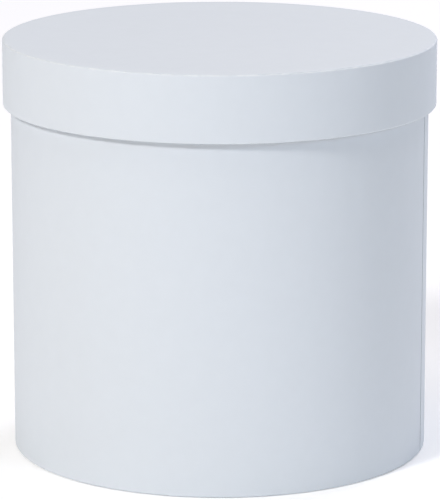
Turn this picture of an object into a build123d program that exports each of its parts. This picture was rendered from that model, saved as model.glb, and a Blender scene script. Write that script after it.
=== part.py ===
from build123d import *
import math
import os

# A round rigid hat box: a board drum covered and lined with glued paper, under a lift-off lid
# made the same way. Millimetres, standing on Z = 0 with its axis on Z and its front towards -Y.
# Each sheet of paper is a piece of its own and lies face to face on what it is glued to.

# Driving dimensions
body_diameter = 200.0  # over the cover paper
body_height = 196.8  # from the floor to the rim, which the lid rests on
lid_depth = 32.0  # from the lid's top to its lower edge
lid_clearance = 1.2  # all round, between the body's cover paper and the lid's lining

# Sheet materials
board = 2.0  # greyboard of both walls, the base and the lid's top
cover_paper = 0.2
lining_paper = 0.15
stay_tape = 0.1  # gummed paper, pressed flush into the board over each wall's butt joint
stay_tape_width = 20.0

# How the board and paper are worked
edge_round = 0.6  # a board edge, pressed by the paper drawn over it
butt_gap = 0.4  # between the two ends of a rolled wall, at the back
lap_width = 10.0  # a strip of paper over its own start
body_lap_angle = -11.8  # the middle of each lap, in degrees from +X towards +Y
lid_lap_angle = 97.0
body_lining_lap_angle = 62.0
lid_lining_lap_angle = 120.0
body_turn_in = 15.0  # cover paper turned in over the open edge of the wall
lid_turn_in = 12.0
tab_length = 12.0  # cover paper turned over the closed edge, in notched tabs
body_lining_setback = 5.0  # bare cover paper between the open edge and the lining
lid_lining_setback = 4.0
lining_flange = 8.0  # lining turned onto the base or top, in notched tabs
lining_jog = 1.0  # height over which a lining steps off the turned-in cover paper

# Tabs, and the discs of paper that hide them
tab_count = 36
notch_gap = 2.0  # left open between two tabs at their ends
notch_margin = 1.0  # from a notch's point to the edge of what hides it
base_cover_inset = 4.0
lid_cover_inset = 1.0
lining_disc_gap = 0.6
disc_step = 1.0  # radial run of a disc's step off the tabs
lid_cover_step = 6.0  # the lid's top is filled level, so its step is gentle

# Radii from the axis out
body_outer = body_diameter / 2
body_board_outer = body_outer - cover_paper
body_board_inner = body_board_outer - board
lid_board_inner = body_outer + lid_clearance + lining_paper + cover_paper
lid_board_outer = lid_board_inner + board
lid_outer = lid_board_outer + cover_paper

# Heights from the floor up
base_low = 2 * cover_paper
base_high = base_low + board
body_board_high = body_height - cover_paper
lid_top_low = body_height + 2 * lining_paper
lid_top_high = lid_top_low + board
overall_height = lid_top_high + 2 * cover_paper
lid_low = overall_height - lid_depth
lid_board_low = lid_low + cover_paper


def turned(*corners, start=0.0, sweep=360.0):
    """What an outline of (radius, height) corners sweeps about the axis. A third value rounds a corner."""
    points = [corner[:2] for corner in corners]
    rounds = [corner[2] if len(corner) > 2 else 0 for corner in corners]
    outline = make_face(FilletPolyline(*points, radius=rounds, close=True))
    return Rot(Z=start) * revolve(Plane.XZ * outline, Axis.Z, sweep)


def strip(inner, thickness, low, high, width, middle):
    """A strip that stands on a round wall, its width measured round the wall."""
    outer = inner + thickness
    sweep = math.degrees(width / outer)
    return turned(
        (inner, low), (outer, low), (outer, high), (inner, high), start=middle - sweep / 2, sweep=sweep
    )


def notched(sheet, point, end, low, high):
    """A sheet whose turned edge is cut into tabs by V notches, from their points to the tabs' ends."""
    reach = point - end + notch_gap
    half = notch_gap / 2 * reach / (point - end)
    outline = Polyline((point, 0), (point - reach, half), (point - reach, -half), close=True)
    notch = Pos(Z=low) * extrude(make_face(outline), high - low)
    return sheet - [Rot(Z=360 / tab_count * i) * notch for i in range(tab_count)]


def wall_board(inner, outer, closed, opened, tape):
    """A rolled wall, from its closed edge, which holds a disc, to its open one, with a butt joint."""
    wall = turned(
        (inner, closed),
        (outer, closed, edge_round),
        (outer, opened, edge_round),
        (inner, opened, edge_round),
    )
    joint = Pos(0, (inner + outer) / 2, (closed + opened) / 2) * Box(
        butt_gap, 2 * board, abs(opened - closed) + board
    )
    return wall - joint - tape


def seam_tape(inner, low, high):
    """The stay tape over a wall's butt joint, on the inside."""
    return strip(inner, stay_tape, low, high, stay_tape_width, 90)


def cover_wrap(inner, outer, closed, opened, turn_in, disc_radius, lap_angle):
    """The cover paper round a wall: turned in over its open edge and onto its disc in tabs."""
    up = math.copysign(1, opened - closed)
    fold = edge_round + cover_paper
    end = outer - tab_length
    wrap = turned(
        (inner - cover_paper, opened - up * turn_in),
        (inner - cover_paper, opened + up * cover_paper, fold),
        (outer + cover_paper, opened + up * cover_paper, fold),
        (outer + cover_paper, closed - up * cover_paper, fold),
        (end, closed - up * cover_paper),
        (end, closed),
        (outer, closed, edge_round),
        (outer, opened, edge_round),
        (inner, opened, edge_round),
        (inner, opened - up * turn_in),
    )
    low, high = sorted((closed, opened))
    wrap += strip(
        outer + cover_paper, cover_paper, low + edge_round, high - edge_round, lap_width, lap_angle
    )
    return notched(wrap, disc_radius - notch_margin, end, closed - board / 2, closed + board / 2)


def wall_lining(inner, closed, turn_end, opened, lap_angle):
    """The lining of a wall: over the turned-in cover paper, down the board and onto the disc in tabs."""
    up = math.copysign(1, opened - closed)
    face = inner - lining_paper
    end = inner - lining_flange
    flange = closed + up * lining_paper
    below_jog = turn_end - up * lining_jog
    lining = turned(
        (inner - cover_paper, opened),
        (inner - cover_paper, turn_end),
        (inner, below_jog),
        (inner, closed),
        (end, closed),
        (end, flange),
        (face, flange),
        (face, below_jog),
        (face - cover_paper, turn_end),
        (face - cover_paper, opened),
    )
    low, high = sorted((flange + up * lining_paper, below_jog))
    lining += strip(face - lining_paper, lining_paper, low, high, lap_width, lap_angle)
    middle = (closed + flange) / 2
    return notched(lining, face - notch_margin, end, middle - lining_paper, middle + lining_paper)


def paper_disc(radius, low, thickness, step_at, step_run, step_rise):
    """A glued disc of paper, level in the middle, that steps onto the tabs under its edge."""
    under = [(0, low), (step_at - step_run, low), (step_at, low + step_rise), (radius, low + step_rise)]
    over = [(r, z + thickness) for r, z in reversed(under)]
    return turned(*under, *over)


def body_pieces():
    tape = seam_tape(body_board_inner, base_high, body_board_high - edge_round)
    cover_radius = body_outer - base_cover_inset
    return {
        "body_wall_board": wall_board(
            body_board_inner, body_board_outer, base_low, body_board_high, tape
        ),
        "body_seam_tape": tape,
        "base_board": Pos(Z=base_low) * extrude(Circle(body_board_inner), board),
        "body_wrap": cover_wrap(
            body_board_inner,
            body_board_outer,
            base_low,
            body_board_high,
            body_turn_in,
            cover_radius,
            body_lap_angle,
        ),
        "base_cover": paper_disc(
            cover_radius,
            cover_paper,
            cover_paper,
            body_board_outer - tab_length,
            disc_step,
            -cover_paper,
        ),
        "body_lining": wall_lining(
            body_board_inner,
            base_high,
            body_board_high - body_turn_in,
            body_height - body_lining_setback,
            body_lining_lap_angle,
        ),
        "base_lining": paper_disc(
            body_board_inner - lining_paper - lining_disc_gap,
            base_high,
            lining_paper,
            body_board_inner - lining_flange,
            disc_step,
            lining_paper,
        ),
    }


def lid_pieces():
    tape = seam_tape(lid_board_inner, lid_board_low + edge_round, lid_top_low)
    cover_radius = lid_outer - lid_cover_inset
    return {
        "lid_rim_board": wall_board(
            lid_board_inner, lid_board_outer, lid_top_high, lid_board_low, tape
        ),
        "lid_seam_tape": tape,
        "lid_top_board": Pos(Z=lid_top_low) * extrude(Circle(lid_board_inner), board),
        "lid_rim_wrap": cover_wrap(
            lid_board_inner,
            lid_board_outer,
            lid_top_high,
            lid_board_low,
            lid_turn_in,
            cover_radius,
            lid_lap_angle,
        ),
        "lid_top_cover": paper_disc(
            cover_radius,
            lid_top_high,
            cover_paper,
            lid_board_outer - tab_length,
            lid_cover_step,
            cover_paper,
        ),
        "lid_rim_lining": wall_lining(
            lid_board_inner,
            lid_top_low,
            lid_board_low + lid_turn_in,
            lid_low + lid_lining_setback,
            lid_lining_lap_angle,
        ),
        "lid_top_lining": paper_disc(
            lid_board_inner - lining_paper - lining_disc_gap,
            lid_top_low - lining_paper,
            lining_paper,
            lid_board_inner - lining_flange,
            disc_step,
            -lining_paper,
        ),
    }


os.makedirs("parts", exist_ok=True)
for name, piece in {**body_pieces(), **lid_pieces()}.items():
    piece.label = name
    export_step(piece, f"parts/{name}.step")
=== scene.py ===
import cmath
import math
import random

import bpy
import numpy as np
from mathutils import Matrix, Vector


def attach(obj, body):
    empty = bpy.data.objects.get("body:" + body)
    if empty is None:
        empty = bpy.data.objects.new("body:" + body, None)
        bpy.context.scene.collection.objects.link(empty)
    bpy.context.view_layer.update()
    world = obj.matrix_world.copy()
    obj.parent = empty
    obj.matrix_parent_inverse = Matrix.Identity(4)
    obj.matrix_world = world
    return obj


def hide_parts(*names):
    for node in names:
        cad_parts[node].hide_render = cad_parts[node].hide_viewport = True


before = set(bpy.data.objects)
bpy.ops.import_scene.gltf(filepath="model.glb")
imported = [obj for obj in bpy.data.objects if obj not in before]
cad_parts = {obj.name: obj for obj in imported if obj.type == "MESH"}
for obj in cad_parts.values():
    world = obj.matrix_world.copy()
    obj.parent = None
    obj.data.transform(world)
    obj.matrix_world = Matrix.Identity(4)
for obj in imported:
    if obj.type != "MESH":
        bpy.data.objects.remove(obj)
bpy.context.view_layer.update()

mm = 0.001  # the frame is in metres, the sheets below in millimetres
tiny = 1e-6  # places or angles nearer than this are the same


# What the frame says about a round piece: its inner and outer radius, its lowest and highest point
def ringOf(node):
    points = np.array([vertex.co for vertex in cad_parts[node].data.vertices]) / mm
    radii = np.hypot(points[:, 0], points[:, 1])
    return radii.min(), radii.max(), points[:, 2].min(), points[:, 2].max()


wallIn, wallOut, wallLow, wallHigh = ringOf("body_wall_board")
rimIn, rimOut, rimLow, rimHigh = ringOf("lid_rim_board")
baseBoardTop = ringOf("base_board")[3]
lidBoardUnder = ringOf("lid_top_board")[2]
print("frame: body radius", round(wallOut, 1), "mm, lid radius", round(rimOut, 1), "mm")


# Camera, floor and lights

cameraLook = {
    "lens": 250.8,  # mm: a long lens, so the sides hardly converge
    "sensor": 36,
    "distance": 16.45,  # from the box's axis, in board radii
    "height": 4.826,  # from the floor, in the same
    "tilt": 13.27,  # degrees down
    "aside": 0.0007,  # of the picture's height, that the box stands left of the middle
    "farthest": 60,  # metres
}
floorLook = {
    "halfWidth": 25.0,  # metres, so that its far edge is seldom seen
    "colour": "#FFFFFF",
    "glow": 0.12,
    "roughness": 0.9,
}
lightLooks = [
    # name, degrees round from the front towards the right, degrees up,
    # metres away, metres wide, watts, colour
    ("keyLeft", -42, 35, 4.4, 0.9, 92.0, "#FFFDFC"),  # small, so that the lid casts a clear shadow
    ("overhead", 0, 88, 4.0, 3.2, 76.7, "#FFF7F0"),
    ("fillRight", 44, 28, 4.4, 1.0, 28.5, "#D0E6FF"),
    ("behindRight", 150, 30, 4.4, 2.4, 76.3, "#E9ECFF"),
]
roomLook = {"colour": "#FFFFFF", "strength": 0.1}  # so that no side of the studio is black


def linear(hexColour):
    # an sRGB hex value to the linear colour, with full alpha, that Blender's sockets take
    parts = [int(hexColour[i:i + 2], 16) / 255 for i in (1, 3, 5)]
    return (*(p / 12.92 if p <= 0.04045 else ((p + 0.055) / 1.055) ** 2.4 for p in parts), 1)


def makeCamera(look):
    camera = bpy.data.objects.new("camera", bpy.data.cameras.new("camera"))
    camera.data.lens = look["lens"]
    camera.data.sensor_width = look["sensor"]
    camera.data.shift_x = look["aside"]
    camera.data.clip_end = look["farthest"]
    camera.location = Vector((0, -look["distance"], look["height"])) * wallOut * mm
    camera.rotation_euler = (math.radians(90 - look["tilt"]), 0, 0)
    bpy.context.scene.collection.objects.link(camera)
    bpy.context.scene.camera = camera


def makeFloor(look):
    half = look["halfWidth"]
    mesh = bpy.data.meshes.new("studio_floor")
    corners = [(-half, -half, 0), (half, -half, 0), (half, half, 0), (-half, half, 0)]
    mesh.from_pydata(corners, [], [(0, 1, 2, 3)])
    floor = bpy.data.objects.new("studio_floor", mesh)
    bpy.context.scene.collection.objects.link(floor)
    floor.data.materials.append(opalFloor(look))


def makeLight(name, around, up, away, width, watts, colour):
    light = bpy.data.lights.new(name, "AREA")
    light.shape = "DISK"
    light.size = width
    light.energy = watts
    light.color = linear(colour)[:3]
    lamp = bpy.data.objects.new(name, light)
    turn, rise = math.radians(around), math.radians(up)
    level = math.cos(rise)
    aim = Vector((math.sin(turn) * level, -math.cos(turn) * level, math.sin(rise)))
    middle = Vector((0, 0, (wallLow + rimHigh) / 2 * mm))
    lamp.location = middle + aim * away
    lamp.rotation_euler = aim.to_track_quat("Z", "Y").to_euler()
    bpy.context.scene.collection.objects.link(lamp)


def makeRoom(look):
    world = bpy.data.worlds.new("studio_room")
    world.use_nodes = True
    background = world.node_tree.nodes["Background"]
    background.inputs["Color"].default_value = linear(look["colour"])
    background.inputs["Strength"].default_value = look["strength"]
    bpy.context.scene.world = world


# Materials

def newMaterial(name):
    material = bpy.data.materials.new(name)
    material.use_nodes = True
    material.node_tree.nodes.clear()
    return material, material.node_tree


def addNode(tree, kind, settings=None, links=None):
    node = tree.nodes.new(kind)
    for name, value in (settings or {}).items():
        if name in node.inputs:
            node.inputs[name].default_value = value
        else:
            setattr(node, name, value)
    for name, source in (links or {}).items():
        tree.links.new(source, node.inputs[name])
    return node


def scaleOf(sizeInMm):
    # a noise's scale for features of a real size, in a scene of metres
    return 1 / (sizeInMm * mm)


def showOn(tree, shader):
    addNode(tree, "ShaderNodeOutputMaterial", links={"Surface": shader.outputs["BSDF"]})


def opalFloor(look):
    # Opal acrylic sheet, matt and lit a little from below: white far out round the box
    material, tree = newMaterial("opal_acrylic_floor")
    settings = {
        "Base Color": linear(look["colour"]),
        "Roughness": look["roughness"],
        "Emission Color": linear(look["colour"]),
        "Emission Strength": look["glow"],
    }
    showOn(tree, addNode(tree, "ShaderNodeBsdfPrincipled", settings))
    return material


fibreIor = 1.5  # of cellulose, in the papers, the board and the tape

coverPaperLook = {
    "colour": "#DFE5EB",
    "thin": "#DCE2E8",  # where the pulp lies thinner
    "cloud": 7.0,  # mm across one cloud of pulp
    "fibre": 0.7,  # mm, coarser than the real 0.1 so that it shows
    "tooth": 0.006,  # mm high
    "cockle": 14.0,  # mm across one slow wave where paste wetted the sheet
    "cockleHeight": 0.02,
    "roughness": 0.62,
    "roughnessSpread": 0.04,
}
liningPaperLook = {
    **coverPaperLook,
    "colour": "#E9ECF0",
    "thin": "#E2E6EA",
    "cloud": 5.0,
    "tooth": 0.009,
    "cockle": 18.0,
    "cockleHeight": 0.03,
    "roughness": 0.75,
}
# Painted shade: a grey band, in patches, along the lid's lower fold, standing in for the shadow in
# the gap under the lid
paintedShadeLook = {
    "edge": rimLow - 0.1,  # the height in mm where it is strongest: the lid's lower fold
    "fades": 0.3,  # mm up from there to where it ends
    "most": 0.9,  # how strong it is, where strongest
    "least": 0.7,  # share of that strength between its patches
    "colour": "#8B9098",
    "patch": 9.0,  # mm across one patch
}
# Painted highlight: a whiter band, in patches, along the lid's upper fold, where the lamps catch
# the fold
paintedHighlightLook = {
    "edge": rimHigh,  # the lid's upper fold
    "fades": -0.6,  # down
    "most": 0.22,
    "least": 0.0,
    "colour": "#FFFFFF",
    "patch": 5.0,
}
patchFrom, patchTo = 0.43, 0.6  # noise values between which a patch sets in
# cut edges: a little greyer than the sheet, and darker still with painted shade for the shadow
# line along a lap's cut edge
cutEdgeLook = {"darkerPaintedShade": "#A9ADB3", "lighterPaintedShade": "#BFC3C9", "grit": 0.8, "roughness": 0.8}
greyboardLook = {
    "grey": "#8D8880",
    "dark": "#6F6A62",
    "fleck": "#4B4843",
    "flake": 1.6,  # mm, one flake of pulped waste paper
    "speck": 0.6,
    "speckFrom": 0.68,  # noise values between which a speck sets in
    "speckTo": 0.74,
    "roughness": 0.9,
    "relief": 0.02,
}
kraftTapeLook = {
    "kraft": "#B08C62",
    "dark": "#9A7850",
    "fibre": 0.9,
    "drawn": 0.15,  # the fibres' width, as a share of their length along the strip
    "roughness": 0.55,
    "relief": 0.008,
}


def paintedBandOn(tree, place, shade, mark):
    # The paper's colour with one painted band over it, in patches along an edge: painted shade
    # under the lid's lower fold, a painted highlight on its upper fold
    height = addNode(tree, "ShaderNodeSeparateXYZ", links={"Vector": place}).outputs["Z"]
    near = addNode(
        tree,
        "ShaderNodeMapRange",
        {
            "interpolation_type": "SMOOTHSTEP",
            "From Min": mark["edge"] * mm,
            "From Max": (mark["edge"] + mark["fades"]) * mm,
            "To Min": mark["most"],
            "To Max": 0,
        },
        {"Value": height},
    )
    patch = addNode(
        tree,
        "ShaderNodeTexNoise",
        {"Scale": scaleOf(mark["patch"]), "Detail": 3.0},
        {"Vector": place},
    )
    patchy = addNode(
        tree,
        "ShaderNodeMapRange",
        {"From Min": patchFrom, "From Max": patchTo, "To Min": mark["least"]},
        {"Value": patch.outputs["Fac"]},
    )
    amount = addNode(
        tree,
        "ShaderNodeMath",
        {"operation": "MULTIPLY"},
        {0: near.outputs["Result"], 1: patchy.outputs["Result"]},
    )
    return addNode(
        tree,
        "ShaderNodeMix",
        {"data_type": "RGBA", "B": linear(mark["colour"])},
        {"Factor": amount.outputs["Value"], "A": shade.outputs["Result"]},
    )


def uncoatedPaper(name, look, marks=()):
    # Uncoated wood-free paper, calendered and pasted down: matt, cool white, with faint clouds of
    # pulp, and any bands of painted shade and painted highlight given along its edges
    material, tree = newMaterial(name)
    place = addNode(tree, "ShaderNodeTexCoord").outputs["Object"]
    cloud = addNode(
        tree,
        "ShaderNodeTexNoise",
        {"Scale": scaleOf(look["cloud"]), "Detail": 4.0},
        {"Vector": place},
    )
    shade = addNode(
        tree,
        "ShaderNodeMix",
        {"data_type": "RGBA", "A": linear(look["thin"]), "B": linear(look["colour"])},
        {"Factor": cloud.outputs["Fac"]},
    )
    fibre = addNode(
        tree,
        "ShaderNodeTexNoise",
        {"Scale": scaleOf(look["fibre"]), "Detail": 3.0},
        {"Vector": place},
    )
    cockle = addNode(
        tree,
        "ShaderNodeTexNoise",
        {"Scale": scaleOf(look["cockle"]), "Detail": 1.0},
        {"Vector": place},
    )
    tooth = addNode(
        tree,
        "ShaderNodeBump",
        {"Distance": look["tooth"] * mm},
        {"Height": fibre.outputs["Fac"]},
    )
    swell = addNode(
        tree,
        "ShaderNodeBump",
        {"Distance": look["cockleHeight"] * mm},
        {"Height": cockle.outputs["Fac"], "Normal": tooth.outputs["Normal"]},
    )
    matt = addNode(
        tree,
        "ShaderNodeMapRange",
        {
            "To Min": look["roughness"] - look["roughnessSpread"],
            "To Max": look["roughness"] + look["roughnessSpread"],
        },
        {"Value": fibre.outputs["Fac"]},
    )
    for mark in marks:
        shade = paintedBandOn(tree, place, shade, mark)
    surface = {
        "Base Color": shade.outputs["Result"],
        "Roughness": matt.outputs["Result"],
        "Normal": swell.outputs["Normal"],
    }
    showOn(tree, addNode(tree, "ShaderNodeBsdfPrincipled", {"IOR": fibreIor}, surface))
    return material


def cutPaperEdge(look):
    # Paper knifed through, rougher and a little greyer than the sheet's face, and darkened further
    # with painted shade that stands for the shadow line along a lap's cut edge
    material, tree = newMaterial("cut_paper_edge")
    place = addNode(tree, "ShaderNodeTexCoord").outputs["Object"]
    grit = addNode(
        tree,
        "ShaderNodeTexNoise",
        {"Scale": scaleOf(look["grit"]), "Detail": 2.0},
        {"Vector": place},
    )
    shade = addNode(
        tree,
        "ShaderNodeMix",
        {"data_type": "RGBA", "A": linear(look["darkerPaintedShade"]), "B": linear(look["lighterPaintedShade"])},
        {"Factor": grit.outputs["Fac"]},
    )
    settings = {"Roughness": look["roughness"], "IOR": fibreIor}
    surface = {"Base Color": shade.outputs["Result"]}
    showOn(tree, addNode(tree, "ShaderNodeBsdfPrincipled", settings, surface))
    return material


def greyboard(look):
    # Pulped waste paper, pressed and dried: warm grey, dull, with flakes and dark specks in it
    material, tree = newMaterial("greyboard")
    place = addNode(tree, "ShaderNodeTexCoord").outputs["Object"]
    flake = addNode(
        tree,
        "ShaderNodeTexNoise",
        {"Scale": scaleOf(look["flake"]), "Detail": 5.0},
        {"Vector": place},
    )
    speck = addNode(
        tree,
        "ShaderNodeTexNoise",
        {"Scale": scaleOf(look["speck"]), "Detail": 2.0},
        {"Vector": place},
    )
    few = addNode(
        tree,
        "ShaderNodeMapRange",
        {"From Min": look["speckFrom"], "From Max": look["speckTo"]},
        {"Value": speck.outputs["Fac"]},
    )
    pulp = addNode(
        tree,
        "ShaderNodeMix",
        {"data_type": "RGBA", "A": linear(look["dark"]), "B": linear(look["grey"])},
        {"Factor": flake.outputs["Fac"]},
    )
    shade = addNode(
        tree,
        "ShaderNodeMix",
        {"data_type": "RGBA", "B": linear(look["fleck"])},
        {"Factor": few.outputs["Result"], "A": pulp.outputs["Result"]},
    )
    relief = addNode(
        tree,
        "ShaderNodeBump",
        {"Distance": look["relief"] * mm},
        {"Height": flake.outputs["Fac"]},
    )
    settings = {"Roughness": look["roughness"], "IOR": fibreIor}
    surface = {"Base Color": shade.outputs["Result"], "Normal": relief.outputs["Normal"]}
    showOn(tree, addNode(tree, "ShaderNodeBsdfPrincipled", settings, surface))
    return material


def gummedKraft(look):
    # Unbleached kraft paper, gummed and wetted down: brown, with long fibres along the strip and a
    # slight shine
    material, tree = newMaterial("gummed_kraft_tape")
    place = addNode(tree, "ShaderNodeTexCoord").outputs["Object"]
    drawn = addNode(
        tree, "ShaderNodeMapping", {"Scale": (1, 1, look["drawn"])}, {"Vector": place}
    )
    fibre = addNode(
        tree,
        "ShaderNodeTexNoise",
        {"Scale": scaleOf(look["fibre"]), "Detail": 4.0},
        {"Vector": drawn.outputs["Vector"]},
    )
    shade = addNode(
        tree,
        "ShaderNodeMix",
        {"data_type": "RGBA", "A": linear(look["dark"]), "B": linear(look["kraft"])},
        {"Factor": fibre.outputs["Fac"]},
    )
    relief = addNode(
        tree,
        "ShaderNodeBump",
        {"Distance": look["relief"] * mm},
        {"Height": fibre.outputs["Fac"]},
    )
    settings = {"Roughness": look["roughness"], "IOR": fibreIor}
    surface = {"Base Color": shade.outputs["Result"], "Normal": relief.outputs["Normal"]}
    showOn(tree, addNode(tree, "ShaderNodeBsdfPrincipled", settings, surface))
    return material


def finishWith(material, nodes):
    # for the pieces that keep the frame's own shape
    for node in nodes:
        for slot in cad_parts[node].material_slots:
            slot.material = material


makeCamera(cameraLook)
makeFloor(floorLook)
for light in lightLooks:
    makeLight(*light)
makeRoom(roomLook)
bpy.context.scene.view_settings.view_transform = "Standard"
print("stage: camera, floor and", len(lightLooks), "lights")

coverPaper = uncoatedPaper("cover_paper", coverPaperLook)
# the lid's cover paper, with painted shade on its lower fold and a painted highlight on its upper
# fold
coverPaperPaintedLight = uncoatedPaper("cover_paper_painted_light", coverPaperLook, (paintedShadeLook, paintedHighlightLook))
liningPaper = uncoatedPaper("lining_paper", liningPaperLook)
cutEdge = cutPaperEdge(cutEdgeLook)
finishWith(
    greyboard(greyboardLook), ("body_wall_board", "base_board", "lid_rim_board", "lid_top_board")
)
finishWith(gummedKraft(kraftTapeLook), ("body_seam_tape", "lid_seam_tape"))
print("boards and tapes: greyboard and gummed kraft")


# Sheets of paper, each turned round the box's axis with its real thickness

sheetLook = {
    "cover": 0.2,  # mm thick
    "lining": 0.15,
    "wrapColumns": 540,  # of points round a cover wrap, a whole number for each tab
    "columns": 360,  # round the other sheets
    "tabs": 36,  # round each turned-over edge
    "tabGap": 2.0,  # mm between two tabs at their ends
    "notchMargin": 1.0,  # mm from a notch's point to the edge of what hides it
    "foldSteps": 7,  # flats in a folded corner's round
    "foldReach": 1.5,  # mm from a fold over which its raggedness fades
    "farFromFold": 99.0,  # mm, for a sheet that has no fold
    "lapWidth": 10.0,
    "lapEase": 2.5,  # mm over which a sheet comes down off the sheet it laps
    "lapCut": 0.02,  # mm round the wall taken by a lap's cut edge
    "leastWave": 0.4,  # of a sheet's waves, as a share of the highest that one can be
    "jointAt": 90,  # degrees from +X towards +Y: the boards' butt joints, at the back
    "sharp": 40,  # degrees: edges sharper than this are not smoothed
}
cover, lining = sheetLook["cover"], sheetLook["lining"]
notchMargin = sheetLook["notchMargin"]
tabPitch = math.tau / sheetLook["tabs"]


def roundedPath(corners):
    # (radius, height, rounding, longest step before it) corners, in mm, to close points, each
    # radius + 1j * height, with True for those on a fold
    places = [complex(corner[0], corner[1]) for corner in corners]
    points, folded, steps = [places[0]], [False], [1]
    for i, place in enumerate(places[1:], 1):
        rounding, step = corners[i][2:]
        if not rounding:
            points.append(place)
            folded.append(False)
            steps.append(step)
            continue
        ahead = (place - places[i - 1]) / abs(place - places[i - 1])
        turn = cmath.phase((places[i + 1] - place) / ahead)
        start = place - ahead * rounding * math.tan(abs(turn) / 2)
        centre = start + ahead * 1j * math.copysign(rounding, turn)
        for part in range(sheetLook["foldSteps"] + 1):
            swing = cmath.exp(1j * turn * part / sheetLook["foldSteps"])
            points.append(centre + (start - centre) * swing)
            folded.append(True)
            steps.append(step)
    path, onFold = [points[0]], [folded[0]]
    for here, there, fold, step in zip(points, points[1:], folded[1:], steps[1:]):
        parts = max(1, math.ceil(abs(there - here) / step - 0.01))  # a hair over isn't one more
        for part in range(1, parts + 1):
            path.append(here + (there - here) * part / parts)
            onFold.append(fold and part == parts)
    return np.array(path), np.array(onFold)


def normalsOf(path):
    ways = np.diff(path) / abs(np.diff(path))
    ahead = np.concatenate((ways[:1], ways[:-1] + ways[1:], ways[-1:]))
    return 1j * ahead / abs(ahead)


def alongOf(path):
    return np.concatenate(([0], np.cumsum(abs(np.diff(path)))))


def smooth(value):
    value = np.clip(value, 0, 1)
    return value * value * (3 - 2 * value)


def waves(theta, counts, seed, lean):
    # Hand-made unevenness that closes on itself round the box: whole numbers of waves, each with
    # its own start, which drift round as lean, one number for each point of the path, changes
    draw = random.Random(seed)
    total = np.zeros(theta.shape)
    for count in counts:
        start, drift = draw.uniform(0, math.tau), draw.uniform(-1, 1)
        share = draw.uniform(sheetLook["leastWave"], 1)
        total += share * np.sin(count * theta + start + drift * lean[:, None])
    return total / math.sqrt(len(counts))


def unevenness(look, path, folds, theta):
    # A glued sheet's slow waves, and the raggedness of its folds
    lean = alongOf(path) / look["drift"]
    slow = waves(theta, look["slowWaves"], look["seed"], lean)
    ragged = waves(theta, look["foldWaves"], look["seed"] + 1, lean * look["foldDrift"])
    return look["uneven"] * slow + look["ragged"] * folds[:, None] * ragged


def roundFrom(theta, angle, radius):
    # mm round the wall from an angle in degrees
    return ((theta - math.radians(angle) + math.pi) % math.tau - math.pi) * radius


def lapOver(theta, edge, radius, rows):
    # How far the upper sheet of a lap stands off: 1 from its cut edge on, then down again
    beyond = roundFrom(theta, edge, radius)
    fall = smooth((beyond - sheetLook["lapWidth"]) / sheetLook["lapEase"])
    return np.where(beyond > 0, 1 - fall, 0) * rows[:, None]


def columnsOf(columns, lapAt, lapHalf, tabbed):
    # Each column's angle and the middle of its tab. A column on a notch is there twice, once for
    # the tab on either side. A lap has a column on each side of its cut edge, and none close by.
    angles = [math.tau * i / columns for i in range(columns)]
    if lapAt is not None:
        angles = [a for a in angles if abs(a - lapAt) > 4 * lapHalf]
        angles = sorted(angles + [lapAt - lapHalf, lapAt + lapHalf])
    turns, middles = [], []
    for a in angles:
        nearest = round(a / tabPitch) * tabPitch
        if tabbed and abs(a - nearest) < tiny:
            turns += [a, a]
            middles += [nearest - tabPitch / 2, nearest + tabPitch / 2]
        else:
            turns.append(a)
            middles.append((math.floor(a / tabPitch) + 0.5) * tabPitch)
    return np.array(turns), np.array(middles)


def drawnIn(path, notch, tabsFirst):
    # How far each row of points is drawn in to the middle of its tab, as a share: 0 up to the
    # notches' points, and most at the tabs' ends
    ordered = path.real if tabsFirst else path.real[::-1]
    tabbed = np.logical_and.accumulate(ordered <= notch + tiny)
    tabbed = tabbed if tabsFirst else tabbed[::-1]
    reach = (notch - path.real) / (notch - path.real[tabbed].min())
    return np.where(tabbed, reach * sheetLook["tabGap"] / path.real / tabPitch, 0)


def placed(path, theta, out):
    # The sheet's points, in metres, each out from the path by so many mm
    spot = path[:, None] + normalsOf(path)[:, None] * out
    return np.stack((spot.real * np.cos(theta), spot.real * np.sin(theta), spot.imag), -1) * mm


def facesOf(path, turns, drawn, lapEdge):
    # The faces of a sheet whose points are numbered row by row, the side that shows first, then
    # its back. With them comes 1 for each face that is a cut edge.
    rows, count = len(path), len(turns)
    ids = np.arange(rows * count).reshape(rows, count)
    following = np.roll(np.arange(count), -1)
    split = turns == turns[following]
    left, right = np.flatnonzero(split), following[split]  # of each notch
    openHere = (drawn > tiny)[:, None]
    ids[:, right] = np.where(openHere, ids[:, right], ids[:, left])
    for end in (0, -1):
        if path.real[end] < tiny:  # a disc's middle is one point
            ids[end] = ids[end, 0]
    back = ids + rows * count
    faces, cuts = [], []

    def addFaces(cut, *corners):
        for quad in np.stack(corners, -1).reshape(-1, 4).tolist():
            kept = [v for i, v in enumerate(quad) if v != quad[i - 1]]
            if len(kept) > 2:
                faces.append(kept)
                cuts.append(cut)

    joined = np.flatnonzero(~split)
    here, after = ids[:, joined], ids[:, following[joined]]
    under, beyond = back[:, joined], back[:, following[joined]]
    atLap = joined < 0 if lapEdge is None else abs(turns[joined] - lapEdge) < tiny
    for cells, cut in ((~atLap, 0), (atLap, 1)):
        a, b = here[:, cells], after[:, cells]
        addFaces(cut, a[:-1], a[1:], b[1:], b[:-1])
    addFaces(0, under[:-1], beyond[:-1], beyond[1:], under[1:])
    for k in np.flatnonzero(drawn[:-1] + drawn[1:] > tiny):
        addFaces(1, ids[k, left], ids[k + 1, left], back[k + 1, left], back[k, left])
        addFaces(1, ids[k, right], back[k, right], back[k + 1, right], ids[k + 1, right])
    if path.real[0] > tiny:
        addFaces(1, here[0], after[0], beyond[0], under[0])
    if path.real[-1] > tiny:
        addFaces(1, here[-1], under[-1], beyond[-1], after[-1])
    return faces, cuts


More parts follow.
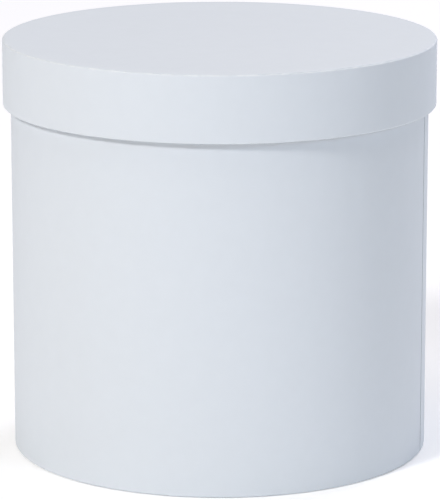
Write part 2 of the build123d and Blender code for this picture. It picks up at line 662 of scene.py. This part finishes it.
def turnedSheet(
    name,
    corners,
    thickness,
    columns,
    lift,
    material,
    edge=cutEdge,
    lapAt=None,
    notch=None,
    tabsFirst=False,
):
    # corners run with the side that shows on their left. lift(path, folds, theta) gives how far
    # each point is raised, and how much thicker a lap makes the sheet there. lapAt is in degrees,
    # and the end of the sheet that lies inside the radius notch is in tabs.
    path, onFold = roundedPath(corners)
    along = alongOf(path)
    apart = abs(along[:, None] - along[onFold]).min(axis=1, initial=sheetLook["farFromFold"])
    folds = np.exp(-((apart / sheetLook["foldReach"]) ** 2))
    lapHalf = sheetLook["lapCut"] / path.real.max() / 2
    lapMiddle = None if lapAt is None else math.radians(lapAt) % math.tau
    turns, middles = columnsOf(columns, lapMiddle, lapHalf, notch is not None)
    drawn = np.zeros(len(path)) if notch is None else drawnIn(path, notch, tabsFirst)
    theta = middles + (turns - middles) * (1 - drawn)[:, None]
    raised, lapped = lift(path, folds, theta)
    sides = placed(path, theta, raised + lapped), placed(path, theta, raised - thickness)
    points = np.concatenate(sides).reshape(-1, 3)
    lapEdge = None if lapAt is None else lapMiddle - lapHalf
    faces, cuts = facesOf(path, turns, drawn, lapEdge)
    used = np.unique(np.concatenate(faces))
    renumbered = np.zeros(len(points), int)
    renumbered[used] = np.arange(len(used))
    mesh = bpy.data.meshes.new(name)
    mesh.from_pydata(points[used], [], [renumbered[face].tolist() for face in faces])
    mesh.materials.append(material)
    mesh.materials.append(edge)
    mesh.polygons.foreach_set("material_index", cuts)
    mesh.shade_smooth()
    mesh.set_sharp_from_angle(angle=math.radians(sheetLook["sharp"]))
    sheet = bpy.data.objects.new(name, mesh)
    bpy.context.scene.collection.objects.link(sheet)
    print(name + ":", len(used), "points,", len(faces), "faces")
    return sheet


def stands(sheet, body, node):
    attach(sheet, body)
    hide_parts(node)


bodyWrapLook = {
    "turnIn": 15.0,  # mm turned in over the wall's open edge
    "fold": 0.8,  # outer radius of a fold
    "lapEdge": -14.66,  # degrees, where the upper sheet's cut edge stands
    "lapLeast": 0.2,  # share of the lap's step that shows where it is pressed flat
    "seed": 11,  # of its waves, and one more for its folds
    "uneven": 0.035,
    "slowWaves": range(3, 60, 4),  # how many go round the box, for each wave in its unevenness
    "drift": 60,  # mm along the sheet over which those shift
    "ragged": 0.05,
    "foldWaves": range(41, 220, 11),
    "foldDrift": 8,  # times as fast
    "jointSink": 0.04,  # over the joint between the wall board's two ends
    "jointWidth": 1.0,
    "ease": 1.5,  # mm from the wall's ends over which that and the lap come in
    "sunk": 0.05,  # mm inside the frame's size, so that no wave stands out of it
    "sunkOnWall": False,  # no need on the body's wall, which stands well inside the lid
}


def wrapLift(look, radius, low, high):
    # for a cover wrap round a wall of this outer radius, from its lower end to its upper one
    def lift(path, folds, theta):
        raised = unevenness(look, path, folds, theta)
        onWall = (path.real > radius) * smooth((path.imag - low) / look["ease"])
        onWall = onWall * smooth((high - path.imag) / look["ease"])
        fromJoint = roundFrom(theta, sheetLook["jointAt"], radius)
        overJoint = np.exp(-((fromJoint / look["jointWidth"]) ** 2))
        raised -= look["jointSink"] * onWall[:, None] * overJoint
        sunk = (path.imag > high) | (path.imag < low) | look["sunkOnWall"]
        raised = np.where(sunk[:, None], np.minimum(raised - look["sunk"], 0), raised)
        share = look["lapLeast"] + (1 - look["lapLeast"]) * onWall
        return raised, cover * lapOver(theta, look["lapEdge"], radius, share)

    return lift


wrapEnd, wrapNotch = ringOf("body_wrap")[0], ringOf("base_cover")[1] - notchMargin
bodyWrap = turnedSheet(
    "body_cover_wrap",
    [
        (wallIn - cover, wallHigh - bodyWrapLook["turnIn"], 0, 1),
        (wallIn - cover, wallHigh + cover, bodyWrapLook["fold"], 3),
        (wallOut + cover, wallHigh + cover, bodyWrapLook["fold"], 1),
        (wallOut + cover, wallLow - cover, bodyWrapLook["fold"], 6),
        (wrapNotch, wallLow - cover, 0, 2.5),
        (wrapEnd, wallLow - cover, 0, 2.5),
    ],
    cover,
    sheetLook["wrapColumns"],
    wrapLift(bodyWrapLook, wallOut, wallLow, wallHigh),
    coverPaper,
    lapAt=bodyWrapLook["lapEdge"],
    notch=wrapNotch,
)
stands(bodyWrap, "box", "body_wrap")

discLook = {
    # for each of the four discs that hide tabs
    "stepRun": 1.0,  # mm over which it steps onto the tabs
    "uneven": 0.03,
    "slowWaves": range(2, 30, 3),
    "drift": 25,
    "calm": 70,  # mm out from the middle over which the waves come in
    "tabMark": 0.05,  # mm that it sinks over each open notch
    "tabMarkWidth": 1.2,
    "tabMarkStart": 2.0,  # mm over which that comes in at the tabs' ends
    "tabMarkStop": 3.0,  # and over which it goes at the notches' points
    "dish": 0.0,  # mm that its middle is sunk
    "dishRun": 30,
    "sunk": 0.0,  # mm inside the frame's size, or 0 where its waves may stand out of it
}
baseCoverLook = {
    **discLook,
    "stepRun": 1.5,
    "seed": 21,
    "tabMark": 0.08,
    "tabMarkStop": 4.0,
    "sunk": 0.04,
}


def discLift(look, tabsFrom, notch):
    # for a disc over tabs that reach from this radius out to their notches' points
    def lift(path, folds, theta):
        radius = path.real[:, None]
        slow = waves(theta, look["slowWaves"], look["seed"], alongOf(path) / look["drift"])
        raised = look["uneven"] * smooth(radius / look["calm"]) * slow
        onTabs = smooth((radius - tabsFrom) / look["tabMarkStart"])
        onTabs = onTabs * smooth((notch - radius) / look["tabMarkStop"])
        fromNotch = ((theta + tabPitch / 2) % tabPitch - tabPitch / 2) * radius
        overNotch = np.exp(-((fromNotch / look["tabMarkWidth"]) ** 2))
        raised -= look["tabMark"] * onTabs * overNotch
        raised -= look["dish"] * smooth((tabsFrom - radius) / look["dishRun"])
        if look["sunk"]:
            raised = np.minimum(raised - look["sunk"], 0)
        return raised, np.zeros(theta.shape)

    return lift


baseRadius = ringOf("base_cover")[1]
baseCover = turnedSheet(
    "base_cover_disc",
    [
        (baseRadius, 0, 0, 1),
        (wrapEnd, 0, 0, 2),
        (wrapEnd - baseCoverLook["stepRun"], cover, 0, 0.5),
        (0, cover, 0, 5),
    ],
    cover,
    sheetLook["columns"],
    discLift(baseCoverLook, wrapEnd, wrapNotch),
    coverPaper,
)
stands(baseCover, "box", "base_cover")

bodyLiningLook = {
    "flange": 8.0,  # mm turned onto the disc, in tabs
    "crease": 0.5,  # radius where it turns
    "jog": 1.0,  # mm of height over which it steps off the turned-in cover paper
    "setback": 5.0,  # mm of bare cover paper between the open edge and the lining
    "lapEdge": 59.1,  # degrees
    "lapLeast": 0.15,
    "seed": 31,
    "uneven": 0.04,
    "slowWaves": range(3, 50, 4),
    "drift": 50,
    "ragged": 0.04,
    "foldWaves": range(31, 150, 9),
    "foldDrift": 6,
    "tapeMark": 0.03,  # mm that the stay tape under it shows
    "tapeHalf": 10.5,  # mm from the tape's middle to the end of that
    "tapeEase": 1.0,
    "wallFrom": 1.2,  # mm inside the wall where its marks begin to come in
    "wallEase": 0.8,
    "flangeFrom": 0.6,  # mm inside the wall where the flange begins
    "flangeSunk": 0.03,
    "wallSunk": 0.02,
}


def liningLift(look, face, jogAt, up):
    # for a lining of this radius, which steps off the turned-in paper at jogAt. up is 1 where its
    # wall opens upwards and -1 where it opens downwards.
    def lift(path, folds, theta):
        raised = unevenness(look, path, folds, theta)
        onWall = smooth((path.real - face + look["wallFrom"]) / look["wallEase"])
        fromTape = abs(roundFrom(theta, sheetLook["jointAt"], face))
        onTape = smooth((look["tapeHalf"] - fromTape) / look["tapeEase"])
        raised += look["tapeMark"] * onWall[:, None] * onTape
        onFlange = (path.real < face - look["flangeFrom"])[:, None]
        pressed = np.minimum(raised - look["flangeSunk"], 0)
        raised = np.where(onFlange, pressed, raised - look["wallSunk"])
        pastJog = smooth((jogAt - path.imag) * up / look["jog"] + 0.5)
        share = look["lapLeast"] + (1 - look["lapLeast"]) * onWall * pastJog
        return raised, lining * lapOver(theta, look["lapEdge"], face, share)

    return lift


bodyFace = wallIn - lining
bodyJog = wallHigh - bodyWrapLook["turnIn"]
liningEnd = wallIn - bodyLiningLook["flange"]
bodyLining = turnedSheet(
    "body_lining_wall",
    [
        (liningEnd, baseBoardTop + lining, 0, 1),
        (bodyFace - notchMargin, baseBoardTop + lining, 0, 2.5),
        (bodyFace, baseBoardTop + lining, bodyLiningLook["crease"], 1),
        (bodyFace, bodyJog - bodyLiningLook["jog"], 0, 6),
        (bodyFace - cover, bodyJog, 0, 0.34),
        (bodyFace - cover, wallHigh + cover - bodyLiningLook["setback"], 0, 3),
    ],
    lining,
    sheetLook["columns"],
    liningLift(bodyLiningLook, bodyFace, bodyJog, 1),
    liningPaper,
    lapAt=bodyLiningLook["lapEdge"],
    notch=bodyFace - notchMargin,
    tabsFirst=True,
)
stands(bodyLining, "box", "body_lining")

baseLiningLook = {**discLook, "seed": 41}
baseLining = turnedSheet(
    "base_lining_disc",
    [
        (0, baseBoardTop + lining, 0, 1),
        (liningEnd - baseLiningLook["stepRun"], baseBoardTop + lining, 0, 5),
        (liningEnd, baseBoardTop + 2 * lining, 0, 0.5),
        (ringOf("base_lining")[1], baseBoardTop + 2 * lining, 0, 2),
    ],
    lining,
    sheetLook["columns"],
    discLift(baseLiningLook, liningEnd, bodyFace - notchMargin),
    liningPaper,
)
stands(baseLining, "box", "base_lining")

lidWrapLook = {
    **bodyWrapLook,
    "turnIn": 12.0,
    "lapEdge": 94.24,
    "seed": 51,
    "uneven": 0.02,
    "ragged": 0.09,
    "foldWaves": range(37, 170, 7),
    "jointSink": 0.03,
    "sunk": 0.04,
    "sunkOnWall": True,
}
lidWrapEnd, lidNotch = ringOf("lid_rim_wrap")[0], ringOf("lid_top_cover")[1] - notchMargin
lidWrap = turnedSheet(
    "lid_cover_wrap",
    [
        (lidWrapEnd, rimHigh + cover, 0, 1),
        (lidNotch, rimHigh + cover, 0, 2.5),
        (rimOut + cover, rimHigh + cover, lidWrapLook["fold"], 1),
        (rimOut + cover, rimLow - cover, lidWrapLook["fold"], 3),
        (rimIn - cover, rimLow - cover, lidWrapLook["fold"], 1),
        (rimIn - cover, rimLow + lidWrapLook["turnIn"], 0, 3),
    ],
    cover,
    sheetLook["wrapColumns"],
    wrapLift(lidWrapLook, rimOut, rimLow, rimHigh),
    coverPaperPaintedLight,
    lapAt=lidWrapLook["lapEdge"],
    notch=lidNotch,
    tabsFirst=True,
)
stands(lidWrap, "lid", "lid_rim_wrap")

lidCoverLook = {
    **discLook,
    "stepRun": 6.0,
    "seed": 61,
    "uneven": 0.02,
    "tabMark": 0.03,
    "dish": 0.1,
    "sunk": 0.03,
    "pressed": 1.2,  # mm of the edge rubbed down with a bone folder
    "pressDepth": 0.12,
}
lidCoverRadius = ringOf("lid_top_cover")[1]
lidCover = turnedSheet(
    "lid_cover_disc",
    [
        (0, rimHigh + cover, 0, 1),
        (lidWrapEnd - lidCoverLook["stepRun"], rimHigh + cover, 0, 5),
        (lidWrapEnd, rimHigh + 2 * cover, 0, 1),
        (lidCoverRadius - lidCoverLook["pressed"], rimHigh + 2 * cover, 0, 2),
        (lidCoverRadius, rimHigh + 2 * cover - lidCoverLook["pressDepth"], 0, 0.5),
    ],
    cover,
    sheetLook["columns"],
    discLift(lidCoverLook, lidWrapEnd, lidNotch),
    coverPaper,
    edge=coverPaper,  # its edge is pressed down into the fold, and gets no painted shade
)
stands(lidCover, "lid", "lid_top_cover")

lidLiningLook = {**bodyLiningLook, "setback": 4.0, "lapEdge": 117.2, "seed": 71}
lidFace = rimIn - lining
lidJog = rimLow + lidWrapLook["turnIn"]
topLiningEnd = rimIn - lidLiningLook["flange"]
lidRimLining = turnedSheet(
    "lid_lining_rim",
    [
        (lidFace - cover, rimLow - cover + lidLiningLook["setback"], 0, 1),
        (lidFace - cover, lidJog, 0, 3),
        (lidFace, lidJog + lidLiningLook["jog"], 0, 0.34),
        (lidFace, lidBoardUnder - lining, lidLiningLook["crease"], 3),
        (lidFace - notchMargin, lidBoardUnder - lining, 0, 1),
        (topLiningEnd, lidBoardUnder - lining, 0, 2.5),
    ],
    lining,
    sheetLook["columns"],
    liningLift(lidLiningLook, lidFace, lidJog, -1),
    liningPaper,
    lapAt=lidLiningLook["lapEdge"],
    notch=lidFace - notchMargin,
)
stands(lidRimLining, "lid", "lid_rim_lining")

topLiningLook = {**discLook, "seed": 81, "sunk": 0.03}
topLining = turnedSheet(
    "lid_lining_disc",
    [
        (ringOf("lid_top_lining")[1], lidBoardUnder - 2 * lining, 0, 1),
        (topLiningEnd, lidBoardUnder - 2 * lining, 0, 2),
        (topLiningEnd - topLiningLook["stepRun"], lidBoardUnder - lining, 0, 0.5),
        (0, lidBoardUnder - lining, 0, 5),
    ],
    lining,
    sheetLook["columns"],
    discLift(topLiningLook, topLiningEnd, lidFace - notchMargin),
    liningPaper,
)
stands(topLining, "lid", "lid_top_lining")
